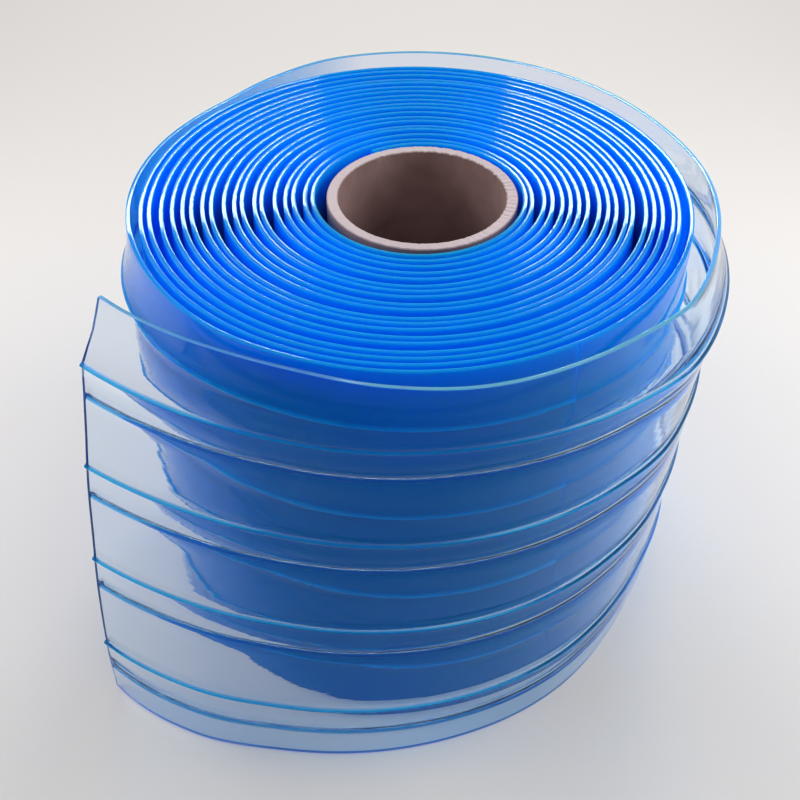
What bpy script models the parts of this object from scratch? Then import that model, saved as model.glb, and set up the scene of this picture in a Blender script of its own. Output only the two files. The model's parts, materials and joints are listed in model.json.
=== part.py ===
"""Roll of clear ribbed PVC strip for a strip door curtain, standing on its cut edges.

One length of strip is wound clockwise (seen from above) on a cardboard core. The outer
turn has sprung loose and flares at its foot, and the free end is peeled away from the roll.
The strip is cut into three solids where its parts move or lie differently: the wound turns,
the loose outer turn, and the free end, which swings on the line where it leaves the roll.
Metres, +Z up, floor at z = 0, origin under the middle of the whole roll.
"""
import math

import bmesh
import bpy
import numpy as np

MM = 0.001

# The extruded strip
STRIP_WIDTH = 200 * MM
STRIP_THICKNESS = 2 * MM
RIBS_PER_FACE = 4
RIB_PITCH = 48 * MM
RIB_WIDTH = 3.5 * MM
RIB_HEIGHT = 1.2 * MM
RIB_CREST_share = 0.5
INNER_RIB_DROP = 15 * MM

# The cardboard core, cut as long as the strip is wide
CORE_BORE = 76 * MM
CORE_WALL = 5 * MM
CORE_EDGE_BREAK = 0.5 * MM
CORE_SIDES = 64

# The winding: one spiral, whose centre drifts to the left as the roll grows
WOUND_TURNS = 18.5
POINTS_PER_TURN = 24
WINDING_SLACK = 1.1 * MM
WINDING_DRIFT = 4.4 * MM
DRIFT_AZIMUTH = 170.0
WOUND_END_AZIMUTH = 300.0
CORE_CLEARANCE = 0.3 * MM
END_GAP = 0.3 * MM

# The loose outer turn and the free end beyond it
LOOSE_TURN_DEGREES = 424.0
LOOSE_POINTS_PER_TURN = 40
FREE_END_LENGTH = 73.5 * MM
FREE_END_STEPS = 8
FREE_END_BOW = 7 * MM
CUT_SKEW = 7.6 * MM
RIM_STANDOFF = 14 * MM
FOOT_FLARE = 57 * MM
RIM_TUCK = 12 * MM
CURVE_SAMPLES = 2400

# Where the loose turn stands, as (degrees unwound, share of the stand-off from a regular
# winding). The line up its width runs from the foot, which follows FOOT_FLARE, to a point
# that follows RIM_STANDOFF, and its rim is tucked in from that point by RIM_TUCK
RIM_STATION_shares = (
    (0, 0.0), (50, -0.04), (110, 0.43), (162, 0.17), (178, 0.55), (196, 1.01), (235, 1.14),
    (268, 1.05), (295, 1.15), (316, 1.12), (335, 1.2), (350, 0.84), (365, 0.6), (380, 0.43),
    (395, 0.35), (410, 0.31), (424, 0.45), (436, 0.77), (448, 1.3), (470, 2.61))
FOOT_STATION_shares = (
    (0, 0.0), (50, 0.12), (110, 0.0), (162, 0.08), (200, 0.22), (240, 0.26), (280, 0.16),
    (315, 0.035), (330, 0.016), (342, 0.061), (352, 0.139), (360, 0.21), (372, 0.307),
    (384, 0.403), (401, 0.566), (412, 0.688), (424, 0.865), (437, 0.979), (448, 1.015),
    (470, 1.34))
TUCK_STATION_shares = (
    (0, 0.0), (62, 0.0), (104, 0.42), (150, 0.18), (200, 0.14), (250, 0.33), (290, 0.6),
    (316, 0.64), (340, 0.51), (360, 0.29), (380, 0.04), (395, 0.23), (410, 0.52), (424, 0.63),
    (440, 0.55), (470, 0.37))

# The tuck, and the free end's outward bow, by height as a share of the strip's width
TUCK_HEIGHT_shares = (
    (0, 0.0), (0.4, 0.08), (0.55, 0.02), (0.68, 0.13), (0.785, -0.02), (0.86, -0.18),
    (0.925, 0.58), (1, 1.0))
BOW_HEIGHT_shares = ((0, 0.0), (0.14, 0.6), (0.38, 1.0), (0.62, 1.0), (0.86, 0.5), (1, 0.0))

CORE_RADIUS = CORE_BORE / 2 + CORE_WALL
TURN_PITCH = STRIP_THICKNESS + RIB_HEIGHT + WINDING_SLACK
HALF_THICKNESS = STRIP_THICKNESS / 2
# The winding's flat facets stay clear of the round core, so its corners lie a little out
FIRST_RADIUS = (CORE_RADIUS + CORE_CLEARANCE) / math.cos(math.pi / POINTS_PER_TURN) + HALF_THICKNESS
END_RADIUS = FIRST_RADIUS + WOUND_TURNS * TURN_PITCH


def winding_points(turns):
    """Plan points of the strip's centre line: a spiral whose radius grows by one pitch a
    turn, clockwise, about a centre that drifts in step with the radius."""
    turns = np.asarray(turns, dtype=float)
    azimuth = np.radians(WOUND_END_AZIMUTH + 360 * (WOUND_TURNS - turns))
    growth = turns / WOUND_TURNS
    radius = FIRST_RADIUS + (END_RADIUS - FIRST_RADIUS) * growth
    drift = math.radians(DRIFT_AZIMUTH)
    centre = np.outer(growth, (math.cos(drift), math.sin(drift))) * WINDING_DRIFT
    return centre + np.stack([radius * np.cos(azimuth), radius * np.sin(azimuth)], axis=1)


def station_curve(stations, degrees):
    """Smooth curve through the stations that never swings past them: a cubic in each
    interval, whose slope at a station is the harmonic mean of the slopes beside it, or level
    where these turn."""
    places, values = (np.array(column, dtype=float) for column in zip(*stations))
    chords = np.diff(values) / np.diff(places)
    before, after = chords[:-1], chords[1:]
    turning = before * after <= 0
    slopes = np.concatenate([chords[:1], before, chords[-1:]])
    slopes[1:-1][turning] = 0
    keep = ~turning
    slopes[1:-1][keep] = 2 * before[keep] * after[keep] / (before[keep] + after[keep])
    step = np.clip(np.searchsorted(places, degrees) - 1, 0, len(places) - 2)
    span = places[step + 1] - places[step]
    part = (degrees - places[step]) / span
    rise = values[step + 1] - values[step]
    first = slopes[step] * span - rise
    last = rise - slopes[step + 1] * span
    return values[step] + rise * part + part * (1 - part) * (first * (1 - part) + last * part)


def loose_curve(stations, standoff):
    """Plan points of the loose turn's rim or foot, and the length run along them. The curve
    is the winding carried on past its end and pushed out from the core by the stand-off."""
    degrees = np.linspace(0, stations[-1][0], CURVE_SAMPLES)
    points = winding_points(WOUND_TURNS + degrees / 360)
    outward = points / np.linalg.norm(points, axis=1)[:, None]
    points = points + outward * (standoff * station_curve(stations, degrees))[:, None]
    steps = np.linalg.norm(np.diff(points, axis=0), axis=1)
    return degrees, points, np.concatenate([[0], np.cumsum(steps)])


def at_length(points, lengths, wanted):
    """Points of a curve at the wanted lengths along it."""
    return np.stack([np.interp(wanted, lengths, points[:, axis]) for axis in (0, 1)], axis=1)


def strip_rulings(wanted, skew=0):
    """Foot points, unit directions up the strip and unit normals out of the roll, at the
    wanted lengths along the loose turn. Rim and foot have run the same length at each, as
    an unstretched strip does, less the skew at the foot, and the foot lies on the floor."""
    rim = at_length(RIM_CURVE[1], RIM_CURVE[2], wanted)
    foot = at_length(FOOT_CURVE[1], FOOT_CURVE[2], wanted - skew)
    lean = rim - foot
    rise = np.sqrt(STRIP_WIDTH ** 2 - np.sum(lean ** 2, axis=1))
    up = np.column_stack([lean, rise]) / STRIP_WIDTH
    middle = (rim + foot) / 2
    along = np.column_stack([np.gradient(middle, wanted, axis=0), np.zeros(len(wanted))])
    out = np.cross(up, along)
    out /= np.linalg.norm(out, axis=1)[:, None]
    return np.column_stack([foot, np.zeros(len(wanted))]), up, out


def ribbed_profile():
    """Section of the strip as (height up the width, distance out of its middle): up the
    inner face, down the outer face, with a rounded rib at each of the face's stations. Both
    faces also have a point where the other has a rib, and one in the tuck, so that they stay
    the strip's thickness apart where it curves."""
    first_rib = (STRIP_WIDTH - (RIBS_PER_FACE - 1) * RIB_PITCH) / 2
    outer = first_rib + RIB_PITCH * np.arange(RIBS_PER_FACE)
    inner = outer - INNER_RIB_DROP
    tuck = STRIP_WIDTH - first_rib / 2
    crest = RIB_WIDTH * RIB_CREST_share / 2
    rib = np.array([(-RIB_WIDTH / 2, 0), (-crest, RIB_HEIGHT), (crest, RIB_HEIGHT), (RIB_WIDTH / 2, 0)])

    def face(ribs, plain):
        points = [(height, 0) for height in (0, *plain, tuck, STRIP_WIDTH)]
        points += [(height + rise, out) for height in ribs for rise, out in rib]
        return np.array(sorted(points))

    up = face(inner, outer)
    down = face(outer, inner)[::-1]
    return np.concatenate([up * (1, -1) - (0, HALF_THICKNESS), down + (0, HALF_THICKNESS)])


def ribbed_rings(wanted, end_share):
    """Rings of 3-D points of the ribbed strip at the wanted lengths: its section carried
    along, with the rim tucked in, on the floor and no higher than the winding. The end
    share, from 0 at the root to 1 at the cut, brings in the free end's bow and the skew of
    its cut."""
    foot, up, out = strip_rulings(wanted, CUT_SKEW * end_share)
    height, offset = ribbed_profile().T
    share = height / STRIP_WIDTH
    degrees = np.interp(wanted, RIM_CURVE[2], RIM_CURVE[0])
    tuck = RIM_TUCK * station_curve(TUCK_STATION_shares, degrees)
    offset = (offset[None, :] - np.outer(tuck, station_curve(TUCK_HEIGHT_shares, share))
              + np.outer(FREE_END_BOW * end_share ** 2, station_curve(BOW_HEIGHT_shares, share)))
    rings = foot[:, None] + up[:, None] * height[None, :, None] + out[:, None] * offset[:, :, None]
    rings[:, :, 2] -= rings[:, :, 2].min(axis=1)[:, None]
    rings[:, :, 2] *= np.minimum(1, STRIP_WIDTH / rings[:, :, 2].max(axis=1))[:, None]
    return rings


def wound_rings():
    """Rings of 3-D points of the plain strip wound on the core, from its inner end."""
    steps = round(WOUND_TURNS * POINTS_PER_TURN)
    turns = np.arange(steps + 1) / POINTS_PER_TURN
    turns = turns[turns <= WOUND_TURNS]
    middle = winding_points(turns)
    across = np.gradient(middle, axis=0)
    out = np.column_stack([across[:, 1], -across[:, 0]])
    out *= np.sign(np.sum(out * middle, axis=1))[:, None]
    out /= np.linalg.norm(out, axis=1)[:, None]
    corners = ((0, -1), (1, -1), (1, 1), (0, 1))
    rings = np.zeros((len(middle), len(corners), 3))
    for number, (level, side) in enumerate(corners):
        rings[:, number, :2] = middle + side * HALF_THICKNESS * out
        rings[:, number, 2] = level * STRIP_WIDTH
    return rings


def run_of(points):
    """Length run along plan points."""
    return np.concatenate([[0], np.cumsum(np.linalg.norm(np.diff(points, axis=0), axis=1))])


def least_gap(inner, outer, apart):
    """Least gap from the points of the strip's inner face to its outer face, both in plan.
    The inner face is that of the outer face's last stretch, and what lies within the length
    apart along the strip counts as the same stretch."""
    run = run_of(outer)
    inner_run = run[len(outer) - len(inner):]
    step = np.diff(outer, axis=0)
    offset = inner[:, None] - outer[None, :-1]
    part = np.clip(np.sum(offset * step, axis=2) / np.sum(step * step, axis=1), 0, 1)
    distance = np.linalg.norm(offset - part[:, :, None] * step[None], axis=2)
    near = np.abs(inner_run[:, None] - run[None, :-1]) < apart
    return np.where(near, np.inf, distance).min()


def print_gaps(wound, loose):
    """Measure the strip's least gap to itself on its points, and print it: that of the wound
    turns, and that of the loose turn at each height where its inner face has a point."""
    apart = FIRST_RADIUS * math.pi / 2
    wound_outer = wound[:, 2, :2]
    gap = least_gap(wound[:, 0, :2], wound_outer, apart)
    print(f"wound strip: least gap to itself {gap / MM:.2f} mm")
    half = loose.shape[1] // 2
    gaps = []
    for number in range(half):
        level = loose[:, number, 2].mean()
        outer = [[np.interp(level, ring[:half - 1:-1, 2], ring[:half - 1:-1, axis])
                  for axis in (0, 1)] for ring in loose]
        gaps.append(least_gap(loose[:, number, :2], np.concatenate([wound_outer, outer]), apart))
    lowest = int(np.argmin(gaps))
    print(f"loose turn: least gap to the strip inside it {gaps[lowest] / MM:.2f} mm, "
          f"{loose[:, lowest, 2].mean() / MM:.0f} mm up")


def make_material(name, colour, roughness, alpha=1.0):
    """Principled material with one colour."""
    material = bpy.data.materials.new(name)
    material.use_nodes = True
    shader = material.node_tree.nodes["Principled BSDF"]
    shader.inputs["Base Color"].default_value = (*colour, 1)
    shader.inputs["Roughness"].default_value = roughness
    shader.inputs["Metallic"].default_value = 0
    shader.inputs["Alpha"].default_value = alpha
    material.diffuse_color = (*colour, alpha)
    return material


def add_object(name, builder, location, material, smooth_angle):
    """Make one node from a bmesh, with its origin at the location."""
    mesh = bpy.data.meshes.new(name)
    bmesh.ops.recalc_face_normals(builder, faces=builder.faces)
    builder.to_mesh(mesh)
    builder.free()
    mesh.shade_smooth()
    mesh.set_sharp_from_angle(angle=math.radians(smooth_angle))
    mesh.materials.append(material)
    node = bpy.data.objects.new(name, mesh)
    node.location = location
    bpy.context.scene.collection.objects.link(node)
    return node


def swept_body(rings, location):
    """Closed body through rings of points, with a flat face at each end."""
    builder = bmesh.new()
    rows = [[builder.verts.new(point - location) for point in ring] for ring in rings]
    count = len(rows[0])
    for row, following in zip(rows, rows[1:]):
        for number in range(count):
            beside = (number + 1) % count
            builder.faces.new((row[number], row[beside], following[beside], following[number]))
    builder.faces.new(rows[0])
    builder.faces.new(rows[-1])
    return builder


def core_body():
    """Cardboard tube: its section, with broken edges, turned round the axis."""
    bore, outside, edge = CORE_BORE / 2, CORE_RADIUS, CORE_EDGE_BREAK
    section = ((bore + edge, 0), (outside - edge, 0), (outside, edge),
               (outside, STRIP_WIDTH - edge), (outside - edge, STRIP_WIDTH),
               (bore + edge, STRIP_WIDTH), (bore, STRIP_WIDTH - edge), (bore, edge))
    builder = bmesh.new()
    corners = [builder.verts.new((radius, 0, height)) for radius, height in section]
    sides = [builder.edges.new(pair) for pair in zip(corners, corners[1:] + corners[:1])]
    bmesh.ops.spin(builder, geom=corners + sides, cent=(0, 0, 0), axis=(0, 0, 1),
                   angle=2 * math.pi, steps=CORE_SIDES, use_merge=True)
    return builder


for old in list(bpy.data.objects):
    bpy.data.objects.remove(old, do_unlink=True)

RIM_CURVE = loose_curve(RIM_STATION_shares, RIM_STANDOFF)
FOOT_CURVE = loose_curve(FOOT_STATION_shares, FOOT_FLARE)

# Lengths along the rim: the loose turn ends, and the free end starts, at the root
root = float(np.interp(LOOSE_TURN_DEGREES, RIM_CURVE[0], RIM_CURVE[2]))
loose_steps = round(LOOSE_TURN_DEGREES / 360 * LOOSE_POINTS_PER_TURN)
loose_lengths = np.linspace(END_GAP, root, loose_steps + 1)
free_lengths = np.linspace(root + END_GAP, root + FREE_END_LENGTH, FREE_END_STEPS + 1)
free_part = (free_lengths - free_lengths[0]) / (free_lengths[-1] - free_lengths[0])

wound = wound_rings()
strip = ribbed_rings(np.concatenate([loose_lengths, free_lengths]),
                     np.concatenate([np.zeros(len(loose_lengths)), free_part]))
loose, free = np.split(strip, [len(loose_lengths)])
print_gaps(wound, loose)

# The origin goes under the middle of the whole outline, so the core's axis lies beside it
outline = np.concatenate([rings[:, :, :2].reshape(-1, 2) for rings in (wound, loose, free)])
core_axis = np.append(-(outline.min(axis=0) + outline.max(axis=0)) / 2, 0)
for rings in (wound, loose, free):
    rings += core_axis

# The free end swings on a line up its root, as far out as its outermost point
foot, up, out = strip_rulings(np.array([root - END_GAP, root, root + END_GAP]))
root_foot = foot[1] + core_axis
hinge_point = root_foot + out[1] * np.max((loose[-1] - root_foot) @ out[1])
print("core axis, m:", np.round(core_axis, 5).tolist())
print("free end hinge, m:", np.round(hinge_point, 5).tolist(), "axis", np.round(up[1], 5).tolist())

pvc_wound = make_material("clear_blue_pvc_wound", (0.0, 0.22, 0.85), 0.12, 0.9)
pvc_single = make_material("clear_blue_pvc_single", (0.45, 0.68, 0.92), 0.1, 0.45)
cardboard = make_material("grey_cardboard", (0.42, 0.35, 0.32), 0.85)

add_object("wound_strip", swept_body(wound, core_axis), core_axis, pvc_wound, 30)
add_object("loose_turn", swept_body(loose, core_axis), core_axis, pvc_single, 30)
add_object("free_end", swept_body(free, hinge_point), hinge_point, pvc_single, 30)
add_object("core_tube", core_body(), core_axis, cardboard, 30)
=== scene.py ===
"""Looks of a roll of clear, blue-tinted, ribbed PVC strip for a strip door curtain.

The roll stands on end on a pale floor. The sections follow it as it is put together: the
cardboard core, the turns wound on it, and the loose outer turn with its peeled free end.
Metres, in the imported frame; z is up and the camera looks along +Y.
"""
import json
import math

import bpy
import numpy as np
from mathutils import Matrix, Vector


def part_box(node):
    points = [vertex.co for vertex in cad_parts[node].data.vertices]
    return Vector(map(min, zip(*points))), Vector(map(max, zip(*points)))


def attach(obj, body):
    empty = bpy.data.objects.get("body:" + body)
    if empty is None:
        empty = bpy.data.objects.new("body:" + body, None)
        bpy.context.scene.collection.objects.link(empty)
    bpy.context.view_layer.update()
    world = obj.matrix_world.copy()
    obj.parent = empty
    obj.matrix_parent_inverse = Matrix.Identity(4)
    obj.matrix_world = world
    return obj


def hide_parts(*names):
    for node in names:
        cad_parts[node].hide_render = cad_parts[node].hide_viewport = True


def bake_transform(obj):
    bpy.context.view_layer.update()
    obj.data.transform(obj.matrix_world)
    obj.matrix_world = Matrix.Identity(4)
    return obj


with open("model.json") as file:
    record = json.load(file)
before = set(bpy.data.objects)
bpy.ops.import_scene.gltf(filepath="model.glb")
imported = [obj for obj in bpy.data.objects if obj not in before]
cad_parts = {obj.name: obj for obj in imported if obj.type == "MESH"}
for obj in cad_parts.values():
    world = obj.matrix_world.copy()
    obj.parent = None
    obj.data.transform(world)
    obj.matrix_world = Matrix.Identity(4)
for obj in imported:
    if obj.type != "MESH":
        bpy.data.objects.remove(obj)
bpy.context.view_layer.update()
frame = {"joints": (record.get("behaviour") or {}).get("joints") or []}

MM = 0.001

# The camera of the photograph: its place is given from the foot of the core's axis, and its
# lens comes from the focal length in pixels of the 800-pixel frame
core_low, core_high = (np.array(corner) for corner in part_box("core_tube"))
core_axis = (core_low + core_high) / 2 * (1, 1, 0)
CAMERA_PLACE = np.array((-16.0, -492.7, 510.9)) * MM
CAMERA_PITCH = 41.35
CAMERA_YAW = 0.70
PHOTO_FOCAL_PX = 1281.4
PHOTO_WIDTH_PX = 800
SENSOR = 36

camera_data = bpy.data.cameras.new("photo_camera")
camera_data.sensor_width = SENSOR
camera_data.lens = SENSOR * PHOTO_FOCAL_PX / PHOTO_WIDTH_PX
camera = bpy.data.objects.new("photo_camera", camera_data)
camera.location = core_axis + CAMERA_PLACE
camera.rotation_euler = (math.radians(90 - CAMERA_PITCH), 0, math.radians(-CAMERA_YAW))
bpy.context.scene.collection.objects.link(camera)
bpy.context.scene.camera = camera

# Core tube: a spiral-wound tube of grey-brown board, 76 mm inside, on which the strip is
# wound. Its ends are sawn, so their plies show and their edges are frayed, most at the side
# where the saw came through.
CORE_BORE = 76 * MM
CORE_WALL = 5 * MM
STRIP_WIDTH = core_high[2] - core_low[2]
CORE_SIDES = 360
BORE_ROWS = 61
BOARD_PLIES = 7
POINTS_PER_PLY = 4
PLY_STEP = 0.12 * MM
FRAY = 1.3 * MM
FRAY_LEAST = 0.3
FRAY_AZIMUTH = 10.0
# Fibre tufts: waves round the tube, their phase, and what their sine is divided by
FRAY_WAVES = ((61, 0.4, 3), (97, 2.1, 3), (143, 4.0, 3), (23, 1.0, 4))
EDGE_ROUND = 0.6 * MM
SEAM_WIDTH = 1.4 * MM
SEAM_DEPTH = 0.3 * MM
SEAM_PITCH = 150 * MM
BOARD_FACE = "a08480"
BOARD_DARK = "6e5250"
BOARD_EDGE = "cbbcc0"
BOARD_ROUGHNESS = 0.85
FIBRE_SIZE = 1.1 * MM
FIBRE_RELIEF = 0.2 * MM
BLOTCH_SIZE = 16.7 * MM


def linear(colour):
    """Linear RGBA of an sRGB hex colour: the standard curve, a power of 2.4 above a short
    straight foot."""
    share = np.array([int(colour[place:place + 2], 16) for place in (0, 2, 4)]) / 255
    curve = np.where(share <= 0.04045, share / 12.92, ((share + 0.055) / 1.055) ** 2.4)
    return (*curve.tolist(), 1)


def add_node(tree, kind, values=None, links=None, **settings):
    """One node of a material, with its settings, socket values and links."""
    node = tree.nodes.new(kind)
    for name, value in settings.items():
        setattr(node, name, value)
    for socket, value in (values or {}).items():
        node.inputs[socket].default_value = value
    for socket, source in (links or {}).items():
        tree.links.new(source, node.inputs[socket])
    return node


def grid_mesh(name, rows, material, closed=False, sharp_angle=40, run=None):
    """Mesh through a grid of points, rows by points round a closed section: vertex number is
    row times section length plus place, so a face's corners are that number, its neighbour
    in the section, and the same two one row on. Closed rows join the last to the first, and
    otherwise each end gets one flat cap. The run gives each vertex its length along and
    across the strip, in metres, as a UV map."""
    count, around = rows.shape[:2]
    mesh = bpy.data.meshes.new(name)
    row, place = np.meshgrid(np.arange(count if closed else count - 1), np.arange(around), indexing="ij")
    beside, after = (place + 1) % around, (row + 1) % count
    quads = np.stack([row * around + place, row * around + beside,
                      after * around + beside, after * around + place], axis=-1).reshape(-1, 4)
    faces = quads.tolist()
    if not closed:
        faces.append(list(range(around))[::-1])
        faces.append(list(range((count - 1) * around, count * around)))
    mesh.from_pydata(rows.reshape(-1, 3), [], faces)
    if run is not None:
        layer = mesh.uv_layers.new(name="strip_run")
        corner = np.zeros(len(mesh.loops), dtype=np.int32)
        mesh.loops.foreach_get("vertex_index", corner)
        layer.data.foreach_set("uv", run.reshape(-1, 2)[corner].astype(np.float32).ravel())
    mesh.shade_smooth()
    mesh.set_sharp_from_angle(angle=math.radians(sharp_angle))
    mesh.materials.append(material)
    piece = bpy.data.objects.new(name, mesh)
    bpy.context.scene.collection.objects.link(piece)
    return piece


def board_material():
    """Grey-brown paperboard, spiral wound and sawn. To the eye it is matt and blotched, with
    fibres all over, and paler where the saw opened the plies. The fibres are drawn as wide as
    they need to be to show, about ten times their real width."""
    material = bpy.data.materials.new("spiral_wound_paperboard")
    material.use_nodes = True
    tree = material.node_tree
    shader = tree.nodes["Principled BSDF"]
    shader.inputs["Roughness"].default_value = BOARD_ROUGHNESS
    place = add_node(tree, "ShaderNodeTexCoord")
    fibre = add_node(tree, "ShaderNodeTexNoise", {"Scale": 1 / FIBRE_SIZE, "Detail": 6.0, "Roughness": 0.7},
                     {"Vector": place.outputs["Object"]})
    blotch = add_node(tree, "ShaderNodeTexNoise", {"Scale": 1 / BLOTCH_SIZE, "Detail": 4.0},
                      {"Vector": place.outputs["Object"]})
    board = add_node(tree, "ShaderNodeMix", data_type="RGBA")
    board.inputs[6].default_value = linear(BOARD_DARK)
    board.inputs[7].default_value = linear(BOARD_FACE)
    tree.links.new(blotch.outputs["Fac"], board.inputs["Factor"])
    sawn = add_node(tree, "ShaderNodeAttribute", attribute_name="sawn_share")
    ended = add_node(tree, "ShaderNodeMix", data_type="RGBA")
    ended.inputs[7].default_value = linear(BOARD_EDGE)
    tree.links.new(board.outputs[2], ended.inputs[6])
    tree.links.new(sawn.outputs["Fac"], ended.inputs["Factor"])
    tree.links.new(ended.outputs[2], shader.inputs["Base Color"])
    relief = add_node(tree, "ShaderNodeBump", {"Strength": 0.6, "Distance": FIBRE_RELIEF},
                      {"Height": fibre.outputs["Fac"]})
    tree.links.new(relief.outputs["Normal"], shader.inputs["Normal"])
    return material


def core_rows():
    """Rows of the tube's section turned round its axis, and how sawn each point is. The
    section runs up the bore, over the top end's plies, down the outside and back. The ends
    are frayed by a sum of sines round the tube, strongest at one side by a fourth power of
    half the angle's cosine, and a gaussian groove winds up the bore as the seam."""
    bore, outside = CORE_BORE / 2, CORE_BORE / 2 + CORE_WALL
    angle = np.linspace(0, 2 * np.pi, CORE_SIDES, endpoint=False)[:, None]
    rise = np.linspace(0, 1, BORE_ROWS)
    plies = np.linspace(0, 1, POINTS_PER_PLY * BOARD_PLIES + 1)
    ply_dip = PLY_STEP * np.abs(np.sin(np.pi * BOARD_PLIES * plies))
    inner_z = EDGE_ROUND + rise * (STRIP_WIDTH - 2 * EDGE_ROUND)
    end_r = bore + EDGE_ROUND + plies * (CORE_WALL - 2 * EDGE_ROUND)
    radius = np.concatenate([np.full(len(rise), bore), end_r, np.full(2, outside), end_r[::-1]])
    height = np.concatenate([inner_z, STRIP_WIDTH - ply_dip, (STRIP_WIDTH - EDGE_ROUND, EDGE_ROUND),
                             ply_dip[::-1]])
    sawn = np.concatenate([np.zeros(len(rise)), np.ones(len(plies)), np.zeros(2),
                           np.ones(len(plies))])
    worn = FRAY_LEAST + (1 - FRAY_LEAST) * np.cos((angle - math.radians(FRAY_AZIMUTH)) / 2) ** 4
    fray = worn * sum(np.sin(waves * angle + phase) / share for waves, phase, share in FRAY_WAVES)
    near_bore = np.clip(1 - (radius - bore) / (2 * EDGE_ROUND), 0, 1)
    from_end = np.minimum(height, STRIP_WIDTH - height)
    near_end = np.clip(1 - from_end / (2 * EDGE_ROUND), 0, 1)
    radius = radius + np.minimum(fray, 0) * FRAY * near_bore * near_end
    inward = np.sign(STRIP_WIDTH / 2 - height)
    height = height + inward * np.abs(fray) * FRAY * near_end * 0.5
    seam = (height / SEAM_PITCH - angle / (2 * np.pi) + 0.5) % 1 - 0.5
    groove = np.exp(-(seam * SEAM_PITCH / SEAM_WIDTH) ** 2) * SEAM_DEPTH
    in_bore = np.concatenate([np.ones(len(rise)), np.zeros(len(radius[0]) - len(rise))])
    radius = radius + groove * in_bore
    points = np.stack([radius * np.cos(angle), radius * np.sin(angle),
                       np.broadcast_to(height, radius.shape)], axis=-1)
    return points + core_axis, np.broadcast_to(sawn, radius.shape)


rows, sawn = core_rows()
core = grid_mesh("cardboard_core", rows, board_material(), closed=True)
core.data.attributes.new("sawn_share", "FLOAT", "POINT").data.foreach_set(
    "value", sawn.astype(np.float32).ravel())
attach(core, "core")
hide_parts("core_tube")

# Wound strip: the turns that are still tight on the core. The extruded strip is 2 mm of clear
# PVC with four rounded ribs on each face, which keep the turns apart, and slit edges with
# barely rounded corners. Many layers deep, its faint blue tint adds up to a saturated blue.
STRIP_THICKNESS = 2 * MM
RIBS_PER_FACE = 4
RIB_PITCH = 48 * MM
RIB_WIDTH = 3.5 * MM
RIB_HEIGHT = 1.2 * MM
RIB_ROUNDNESS = 1.7
RIB_CLEARING = 0.7
RIB_POINTS = 9
INNER_RIB_DROP = 15 * MM
WOUND_TURNS = 18.5
PLAIN_TURNS = 16.5
RINGS_PER_TURN = 160
CAD_POINTS_PER_TURN = 24
WINDING_SLACK = 1.1 * MM
WINDING_DRIFT = 4.4 * MM
DRIFT_AZIMUTH = 170.0
WOUND_END_AZIMUTH = 300.0
CORE_CLEARANCE = 0.3 * MM
END_GAP = 0.02 * MM
RIM_WANDER = 0.8 * MM
# The rim's wander: waves per turn and their phase, and the share of the width where it starts
WANDER_WAVES = ((0.37, 1.3), (1.43, 0.0), (0.81, 4.1))
WANDER_START = 0.8
FACE_POINTS = 30
PLAIN_FACE_POINTS = 8
EDGE_CROWN = 0.3 * MM
EDGE_SQUARENESS = 5.0
EDGE_SWEEP = 80
EDGE_POINTS = 9
# The sheet's colours: many turns deep, at its edges, in its gloss, in one layer, at a single
# edge, and in the light that lamps send through one layer or through many
PVC_DEEP = "009cea"
PVC_EDGE_DEEP = "009cf0"
PVC_GLINT = "4090ff"
PVC_SINGLE = "f4f7ff"
PVC_EDGE = "7fc0ff"
PVC_SHADOW = "f5f6f8"
PVC_DEEP_SHADOW = "c8e8f4"
# A second layer already takes most of the deep colour, so the clear share is raised to this
SINGLE_POWER = 12.0
# How far red, green and blue light spread under the surface, as shares of the depth
PVC_GLOW_RADII = (0.05, 0.45, 1.0)
PVC_GLOW_DEPTH = 12 * MM
PVC_ABSORB = "18d4ff"
PVC_DENSITY = 45
PVC_IOR = 1.42
PVC_ROUGHNESS = 0.03
PVC_SPECULAR = 0.35
DRAW_LINE_LENGTH = 167 * MM
DRAW_LINE_PITCH = 3.85 * MM
DRAW_LINE_RELIEF = 0.4 * MM
DRAW_LINE_STRENGTH = 0.15
# Clear shares: at a cut edge, inside the winding, and where the strip leaves it
EDGE_CLEAR = 0.4
DEEP_CLEAR = 0.2
OUTER_CLEAR = 0.35

HALF_THICKNESS = STRIP_THICKNESS / 2
TURN_PITCH = STRIP_THICKNESS + RIB_HEIGHT + WINDING_SLACK
FIRST_RADIUS = ((CORE_BORE / 2 + CORE_WALL + CORE_CLEARANCE) / math.cos(math.pi / CAD_POINTS_PER_TURN)
                + HALF_THICKNESS)
END_RADIUS = FIRST_RADIUS + WOUND_TURNS * TURN_PITCH


def winding_points(turns):
    """Plan points of the strip's middle line from the core's axis: a clockwise spiral whose
    radius grows by one pitch a turn, about a centre that drifts in step with the radius."""
    azimuth = np.radians(WOUND_END_AZIMUTH + 360 * (WOUND_TURNS - turns))
    growth = turns / WOUND_TURNS
    radius = FIRST_RADIUS + (END_RADIUS - FIRST_RADIUS) * growth
    drift = math.radians(DRIFT_AZIMUTH)
    centre = np.outer(growth, (math.cos(drift), math.sin(drift))) * WINDING_DRIFT
    return centre + np.stack([radius * np.cos(azimuth), radius * np.sin(azimuth)], axis=1)


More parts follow.
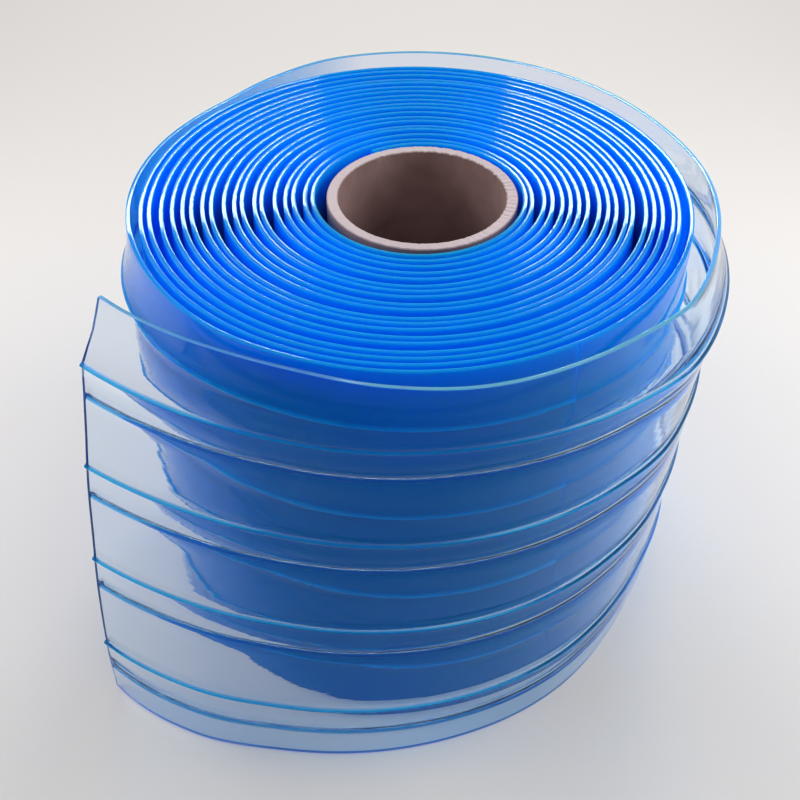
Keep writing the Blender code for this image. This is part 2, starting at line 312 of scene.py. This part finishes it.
def strip_section(ribbed):
    """Section of the strip as (height up the width, distance out of its middle): up the outer
    face, over the rim, down the inner face and under the foot. Rim and foot are superellipses,
    nearly flat with squared corners, and a rib is a bead whose height is a power of a sine
    across its width."""
    first_rib = (STRIP_WIDTH - (RIBS_PER_FACE - 1) * RIB_PITCH) / 2
    outer_ribs = first_rib + RIB_PITCH * np.arange(RIBS_PER_FACE)
    turn = np.radians(np.linspace(EDGE_SWEEP, -EDGE_SWEEP, EDGE_POINTS))
    cap_rise = EDGE_CROWN * np.cos(turn) ** (2 / EDGE_SQUARENESS)
    cap_out = HALF_THICKNESS * np.sign(turn) * np.abs(np.sin(turn)) ** (2 / EDGE_SQUARENESS)
    across = np.linspace(0, 1, RIB_POINTS)

    def face(ribs):
        count = FACE_POINTS if ribbed else PLAIN_FACE_POINTS
        plain = np.linspace(EDGE_CROWN, STRIP_WIDTH - EDGE_CROWN, count)
        if not ribbed:
            return np.stack([plain, np.zeros(len(plain))], axis=1)
        clear = np.min(np.abs(plain[:, None] - ribs), axis=1) > RIB_WIDTH * RIB_CLEARING
        beads = [np.stack([rib + (across - 0.5) * RIB_WIDTH,
                           RIB_HEIGHT * np.sin(np.pi * across) ** RIB_ROUNDNESS], axis=1) for rib in ribs]
        points = np.concatenate([np.stack([plain[clear], np.zeros(clear.sum())], axis=1), *beads])
        return points[np.argsort(points[:, 0])]

    up, down = face(outer_ribs), face(outer_ribs - INNER_RIB_DROP)[::-1]
    rim = np.stack([STRIP_WIDTH - EDGE_CROWN + cap_rise, cap_out], axis=1)
    foot = np.stack([EDGE_CROWN - cap_rise, -cap_out], axis=1)
    return np.concatenate([up + (0, HALF_THICKNESS), rim, down * (1, -1) - (0, HALF_THICKNESS), foot])


def edge_places(ribbed):
    """Places in the section whose faces are the strip's rim or foot: those that start or end
    at a point above or below its flat faces."""
    height = strip_section(ribbed)[:, 0]
    margin = EDGE_CROWN / 100
    outside = (height < EDGE_CROWN - margin) | (height > STRIP_WIDTH - EDGE_CROWN + margin)
    return np.flatnonzero(outside | np.roll(outside, -1))


def wound_rings(first, last, ribbed):
    """Rings of the strip's section from one turn number to another, and their run. The rim
    wanders in and out by sums of sines with the turn number, unlike from turn to turn."""
    turns = np.linspace(first, last, round((last - first) * RINGS_PER_TURN) + 1)
    middle = winding_points(turns)
    along = np.gradient(middle, axis=0)
    length = np.concatenate([[0], np.cumsum(np.linalg.norm(np.diff(middle, axis=0), axis=1))])
    out = np.column_stack([-along[:, 1], along[:, 0]])
    out *= np.sign(np.sum(out * middle, axis=1))[:, None]
    out /= np.linalg.norm(out, axis=1)[:, None]
    height, offset = strip_section(ribbed).T
    wander = RIM_WANDER / 2 * sum(np.sin(2 * np.pi * waves * turns + phase)
                                  for waves, phase in WANDER_WAVES)
    lift = np.clip((height / STRIP_WIDTH - WANDER_START) / (1 - WANDER_START), 0, 1) ** 2
    offset = offset[None, :] + wander[:, None] * lift[None, :]
    rings = np.empty((*offset.shape, 3))
    rings[:, :, :2] = middle[:, None] + out[:, None] * offset[:, :, None]
    rings[:, :, 2] = height
    run = np.stack(np.broadcast_arrays(length[:, None], height[None, :]), axis=-1)
    return rings + core_axis, run


def pvc_material(name, surface_colour, colour_deep, edge=False):
    """Plasticised PVC sheet, extruded between polished rolls. To the eye it is glossy and
    clear, with faint draw lines along its length and a blue that grows with the depth, since
    it absorbs red inside. Where turns lie behind it, its clear share is smaller, and the rest
    glows in the deep colour as light spreads under its surface. Lamps reach what is behind it,
    tinted. A cut edge passes less, because the knife left it faintly rough."""
    material = bpy.data.materials.new(name)
    material.use_nodes = True
    tree = material.node_tree
    shader = tree.nodes["Principled BSDF"]
    output = tree.nodes["Material Output"]
    shader.inputs["Roughness"].default_value = PVC_ROUGHNESS
    shader.inputs["IOR"].default_value = PVC_IOR
    shader.inputs["Specular IOR Level"].default_value = PVC_SPECULAR
    shader.inputs["Specular Tint"].default_value = linear(PVC_GLINT)
    shader.inputs["Subsurface Weight"].default_value = 1.0
    shader.inputs["Subsurface Radius"].default_value = PVC_GLOW_RADII
    shader.inputs["Subsurface Scale"].default_value = PVC_GLOW_DEPTH
    depth = add_node(tree, "ShaderNodeAttribute", attribute_name="clear_share")
    single = add_node(tree, "ShaderNodeMath", {1: SINGLE_POWER}, {0: depth.outputs["Fac"]},
                      operation="POWER")
    colour = add_node(tree, "ShaderNodeMix", data_type="RGBA")
    colour.inputs[6].default_value = linear(colour_deep)
    colour.inputs[7].default_value = linear(surface_colour)
    tree.links.new(single.outputs["Value"], colour.inputs["Factor"])
    tree.links.new(colour.outputs[2], shader.inputs["Base Color"])
    if edge:
        shader.inputs["Transmission Weight"].default_value = EDGE_CLEAR
    else:
        tree.links.new(depth.outputs["Fac"], shader.inputs["Transmission Weight"])
    run = add_node(tree, "ShaderNodeUVMap", uv_map="strip_run")
    drawn = add_node(tree, "ShaderNodeMapping", {"Scale": (1 / DRAW_LINE_LENGTH, 1 / DRAW_LINE_PITCH, 1)},
                     {"Vector": run.outputs["UV"]})
    lines = add_node(tree, "ShaderNodeTexNoise", {"Scale": 1.0, "Detail": 3.0},
                     {"Vector": drawn.outputs["Vector"]})
    relief = add_node(tree, "ShaderNodeBump", {"Strength": DRAW_LINE_STRENGTH,
                                               "Distance": DRAW_LINE_RELIEF},
                      {"Height": lines.outputs["Fac"]})
    tree.links.new(relief.outputs["Normal"], shader.inputs["Normal"])
    tint = add_node(tree, "ShaderNodeMix", data_type="RGBA")
    tint.inputs[6].default_value = linear(PVC_DEEP_SHADOW)
    tint.inputs[7].default_value = linear(PVC_SHADOW)
    tree.links.new(single.outputs["Value"], tint.inputs["Factor"])
    passing = add_node(tree, "ShaderNodeBsdfTransparent", links={"Color": tint.outputs[2]})
    path = add_node(tree, "ShaderNodeLightPath")
    both = add_node(tree, "ShaderNodeMixShader", links={0: path.outputs["Is Shadow Ray"],
                                                         1: shader.outputs["BSDF"],
                                                         2: passing.outputs["BSDF"]})
    tree.links.new(both.outputs["Shader"], output.inputs["Surface"])
    inside = add_node(tree, "ShaderNodeVolumeAbsorption",
                      {"Color": linear(PVC_ABSORB), "Density": PVC_DENSITY})
    tree.links.new(inside.outputs["Volume"], output.inputs["Volume"])
    return material


def finish_strip(piece, clear_share, around, edge_faces, cut_ends):
    """Gives the strip its clear share by vertex, and its rim, foot and cut ends the edge
    material; -2 is its first ring's end and -1 its last. An end that isn't cut runs on
    into the next piece."""
    piece.data.attributes.new("clear_share", "FLOAT", "POINT").data.foreach_set(
        "value", np.asarray(clear_share, dtype=np.float32).ravel())
    piece.data.materials.append(pvc_edge)
    index = np.zeros(len(piece.data.polygons), dtype=np.int32)
    place = np.arange(len(index) - 2) % around
    index[:-2][np.isin(place, edge_faces)] = 1
    index[cut_ends] = 1
    piece.data.polygons.foreach_set("material_index", index)


pvc_sheet = pvc_material("clear_pvc_extruded", PVC_SINGLE, PVC_DEEP)
pvc_edge = pvc_material("clear_pvc_cut_edge", PVC_EDGE, PVC_EDGE_DEEP, edge=True)
for name, first, last, ribbed, cut_ends in (
        ("wound_inner_turns", 0, PLAIN_TURNS, False, [-2]),
        ("wound_outer_turns", PLAIN_TURNS, WOUND_TURNS, True, [])):
    rings, run = wound_rings(first, last, ribbed)
    piece = grid_mesh(name, rings, pvc_sheet, run=run)
    turn_number = np.broadcast_to(np.linspace(first, last, len(rings))[:, None], rings.shape[:2])
    share = np.interp(turn_number, (PLAIN_TURNS, WOUND_TURNS), (DEEP_CLEAR, OUTER_CLEAR))
    finish_strip(piece, share, rings.shape[1], edge_places(ribbed), cut_ends)
    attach(piece, "roll")
    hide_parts("wound_strip")

# Loose turn and free end: the last stretch of the same strip, one layer deep, so it is nearly
# clear. It has sprung loose, with its rim tucked in and its foot flared on the floor, and its
# cut end is peeled away from the roll.
LOOSE_TURN_DEGREES = 424.0
CAD_LOOSE_POINTS_PER_TURN = 40
FREE_END_LENGTH = 73.5 * MM
FREE_END_BOW = 7 * MM
CUT_SKEW = 7.6 * MM
RIM_STANDOFF = 14 * MM
FOOT_FLARE = 57 * MM
RIM_TUCK = 12 * MM
CURVE_SAMPLES = 2400
RING_SPACING = 3 * MM
# The length over which the strip comes clear of the turns behind it, and what a rib's crest
# takes from its clear share
CLEARING_LENGTH = 450 * MM
RIB_HAZE = 0.4

# Where the loose turn stands, as (degrees unwound, share of the stand-off from a regular
# winding), and its tuck and bow by height as a share of the strip's width
RIM_STATIONS = (
    (0, 0.0), (50, -0.04), (110, 0.43), (162, 0.17), (178, 0.55), (196, 1.01), (235, 1.14),
    (268, 1.05), (295, 1.15), (316, 1.12), (335, 1.2), (350, 0.84), (365, 0.6), (380, 0.43),
    (395, 0.35), (410, 0.31), (424, 0.45), (436, 0.77), (448, 1.3), (470, 2.61))
FOOT_STATIONS = (
    (0, 0.0), (50, 0.12), (110, 0.0), (162, 0.08), (200, 0.22), (240, 0.26), (280, 0.16),
    (315, 0.035), (330, 0.016), (342, 0.061), (352, 0.139), (360, 0.21), (372, 0.307),
    (384, 0.403), (401, 0.566), (412, 0.688), (424, 0.865), (437, 0.979), (448, 1.015),
    (470, 1.34))
TUCK_STATIONS = (
    (0, 0.0), (62, 0.0), (104, 0.42), (150, 0.18), (200, 0.14), (250, 0.33), (290, 0.6),
    (316, 0.64), (340, 0.51), (360, 0.29), (380, 0.04), (395, 0.23), (410, 0.52), (424, 0.63),
    (440, 0.55), (470, 0.37))
TUCK_BY_HEIGHT = (
    (0, 0.0), (0.4, 0.08), (0.55, 0.02), (0.68, 0.13), (0.785, -0.02), (0.86, -0.18),
    (0.925, 0.58), (1, 1.0))
BOW_BY_HEIGHT = ((0, 0.0), (0.14, 0.6), (0.38, 1.0), (0.62, 1.0), (0.86, 0.5), (1, 0.0))


def station_curve(stations, places_wanted):
    """Smooth curve through the stations that never swings past them: a cubic in each
    interval, whose slope at a station is the harmonic mean of the slopes beside it, or level
    where these turn."""
    places, values = (np.array(column, dtype=float) for column in zip(*stations))
    chords = np.diff(values) / np.diff(places)
    before, after = chords[:-1], chords[1:]
    slopes = np.concatenate([chords[:1], before, chords[-1:]])
    keep = before * after > 0
    slopes[1:-1] = 0
    slopes[1:-1][keep] = 2 * before[keep] * after[keep] / (before[keep] + after[keep])
    step = np.clip(np.searchsorted(places, places_wanted) - 1, 0, len(places) - 2)
    span = places[step + 1] - places[step]
    part = (places_wanted - places[step]) / span
    rise = values[step + 1] - values[step]
    first = slopes[step] * span - rise
    last = rise - slopes[step + 1] * span
    return values[step] + rise * part + part * (1 - part) * (first * (1 - part) + last * part)


def loose_curve(stations, standoff):
    """Plan points of the loose turn's rim or foot, and the length run along them: the winding
    carried on past its end, and pushed out from the core by the stand-off. The CAD's chords
    lie inside its curve by their sagitta, so this curve is drawn in by as much."""
    degrees = np.linspace(0, stations[-1][0], CURVE_SAMPLES)
    points = winding_points(WOUND_TURNS + degrees / 360)
    radius = np.linalg.norm(points, axis=1)
    sagitta = radius * (1 - math.cos(math.pi / CAD_LOOSE_POINTS_PER_TURN))
    push = standoff * station_curve(stations, degrees) - sagitta
    points = points * (1 + push / radius)[:, None]
    steps = np.linalg.norm(np.diff(points, axis=0), axis=1)
    return degrees, points, np.concatenate([[0], np.cumsum(steps)])


def loose_rings():
    """Rings of the ribbed section along the loose turn and the free end, and their run. Rim
    and foot have run the same length at each ring, less the skew of the cut, the foot lies
    on the floor, and the tuck and the free end's bow move the section in and out."""
    degrees, rim_points, rim_length = loose_curve(RIM_STATIONS, RIM_STANDOFF)
    _, foot_points, foot_length = loose_curve(FOOT_STATIONS, FOOT_FLARE)
    root = np.interp(LOOSE_TURN_DEGREES, degrees, rim_length)
    total = root + FREE_END_LENGTH
    wanted = np.linspace(END_GAP, total, round(total / RING_SPACING))
    end_share = np.clip((wanted - root) / FREE_END_LENGTH, 0, 1)
    rim = np.stack([np.interp(wanted, rim_length, rim_points[:, axis]) for axis in (0, 1)], axis=1)
    foot = np.stack([np.interp(wanted - CUT_SKEW * end_share, foot_length, foot_points[:, axis])
                     for axis in (0, 1)], axis=1)
    lean = rim - foot
    up = np.column_stack([lean, np.sqrt(STRIP_WIDTH ** 2 - np.sum(lean ** 2, axis=1))]) / STRIP_WIDTH
    along = np.column_stack([np.gradient((rim + foot) / 2, wanted, axis=0), np.zeros(len(wanted))])
    out = np.cross(up, along)
    out /= np.linalg.norm(out, axis=1)[:, None]
    height, offset = strip_section(ribbed=True).T
    share = height / STRIP_WIDTH
    tuck = RIM_TUCK * station_curve(TUCK_STATIONS, np.interp(wanted, rim_length, degrees))
    offset = (offset[None, :] - np.outer(tuck, station_curve(TUCK_BY_HEIGHT, share))
              + np.outer(FREE_END_BOW * end_share ** 2, station_curve(BOW_BY_HEIGHT, share)))
    foot = np.column_stack([foot, np.zeros(len(foot))])
    rings = foot[:, None] + up[:, None] * height[None, :, None] + out[:, None] * offset[:, :, None]
    rings[:, :, 2] -= rings[:, :, 2].min(axis=1)[:, None]
    rings[:, :, 2] *= np.minimum(1, STRIP_WIDTH / rings[:, :, 2].max(axis=1))[:, None]
    run = np.stack(np.broadcast_arrays(wanted[:, None], height[None, :]), axis=-1)
    return rings + core_axis, run


rings, run = loose_rings()
loose_strip = grid_mesh("loose_strip", rings, pvc_sheet, run=run)
bead = np.clip(np.abs(strip_section(ribbed=True)[:, 1]) - HALF_THICKNESS, 0, None) / RIB_HEIGHT
share = np.interp(run[:, :, 0], (0, CLEARING_LENGTH), (OUTER_CLEAR, 1)) - RIB_HAZE * bead
finish_strip(loose_strip, share, rings.shape[1], edge_places(ribbed=True), cut_ends=[-1])

# The free end's swing joint: its point, and from there the direction along the strip to its
# cut end and the direction outwards, away from the core
hinge = next(joint for joint in frame["joints"] if joint["name"] == "free_end_swing")
hinge_point = np.array(hinge["pos_m"])
end_ring = rings[-1].mean(axis=0)
tangent = (end_ring - hinge_point) * (1, 1, 0)
tangent /= np.linalg.norm(tangent)
outward = np.array((tangent[1], -tangent[0], 0))
outward *= np.sign(outward @ (hinge_point - core_axis))
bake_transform(loose_strip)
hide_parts("loose_turn", "free_end")

# Floor and light: a plain pale painted floor under a soft white sky, with a softbox at each
# side and two wide, low windows behind the roll, whose mirror images are the white arcs on
# the rims.
FLOOR_SIZE = 8.0
FLOOR_COLOUR = "dfdbd7"
FLOOR_ROUGHNESS = 0.7
SKY_COLOUR = "ffffff"
SKY_LEVEL = 0.5
# Each lamp's name, azimuth and rise above the horizon in degrees, distance, width and height
# in metres, and power in watts
LAMPS = (
    ("softbox_left", 172.0, 24.0, 0.6, 0.35, 0.35, 1.8),
    ("softbox_right", 8.0, 24.0, 0.6, 0.35, 0.35, 2.3),
    ("window_left", 105.0, 31.5, 1.6, 0.55, 0.08, 3.6),
    ("window_right", 75.0, 30.0, 1.6, 0.4, 0.16, 5.0))

floor_mesh = bpy.data.meshes.new("pale_floor")
half = FLOOR_SIZE / 2
floor_mesh.from_pydata([(-half, -half, 0), (half, -half, 0), (half, half, 0), (-half, half, 0)], [],
                       [(0, 1, 2, 3)])
floor = bpy.data.objects.new("pale_floor", floor_mesh)
bpy.context.scene.collection.objects.link(floor)
floor_paint = bpy.data.materials.new("matt_floor_paint")
floor_paint.use_nodes = True
paint = floor_paint.node_tree.nodes["Principled BSDF"]
paint.inputs["Base Color"].default_value = linear(FLOOR_COLOUR)
paint.inputs["Roughness"].default_value = FLOOR_ROUGHNESS
floor_mesh.materials.append(floor_paint)

world = bpy.data.worlds.new("soft_sky")
world.use_nodes = True
sky = world.node_tree.nodes["Background"]
sky.inputs["Color"].default_value = linear(SKY_COLOUR)
sky.inputs["Strength"].default_value = SKY_LEVEL
bpy.context.scene.world = world
for name, azimuth, rise, distance, width, height, power in LAMPS:
    lamp = bpy.data.lights.new(name, "AREA")
    lamp.shape = "RECTANGLE"
    lamp.size, lamp.size_y = width, height
    lamp.energy = power
    holder = bpy.data.objects.new(name, lamp)
    turned, raised = math.radians(azimuth), math.radians(rise)
    holder.location = (distance * math.cos(turned) * math.cos(raised),
                       distance * math.sin(turned) * math.cos(raised),
                       distance * math.sin(raised) + STRIP_WIDTH)
    holder.rotation_euler = (math.pi / 2 - raised, 0, turned + math.pi / 2)
    holder.visible_camera = False
    bpy.context.scene.collection.objects.link(holder)

view = bpy.context.scene.view_settings
view.view_transform = "Standard"
